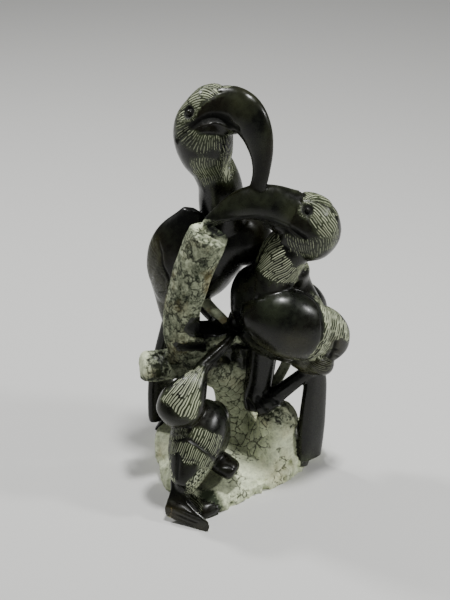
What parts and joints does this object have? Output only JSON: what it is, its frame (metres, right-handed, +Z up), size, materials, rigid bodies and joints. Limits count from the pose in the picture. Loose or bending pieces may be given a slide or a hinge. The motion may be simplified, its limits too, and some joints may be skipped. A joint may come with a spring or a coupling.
{
  "type": "stone bird carving",
  "caption": "Stone carving of big-beaked birds around a broken tree on a rock base, polished dark birds against rough pale bark, cut as one block",
  "frame": {"origin": "on the flat underside of the rock base, under the middle of the carving", "axes": "+Z up from the underside to the first bird's crown; the viewer stands at -Y, and +X is to the viewer's right"},
  "size_m": [0.215, 0.2159, 0.4245],
  "materials": {
    "stone": "dark stone with a waxed polish; the bark, the rock and the chiselled feathers are left rough and pale"
  },
  "bodies": {
    "root": {"bird_carving": "stone"}
  },
  "joints": []
}
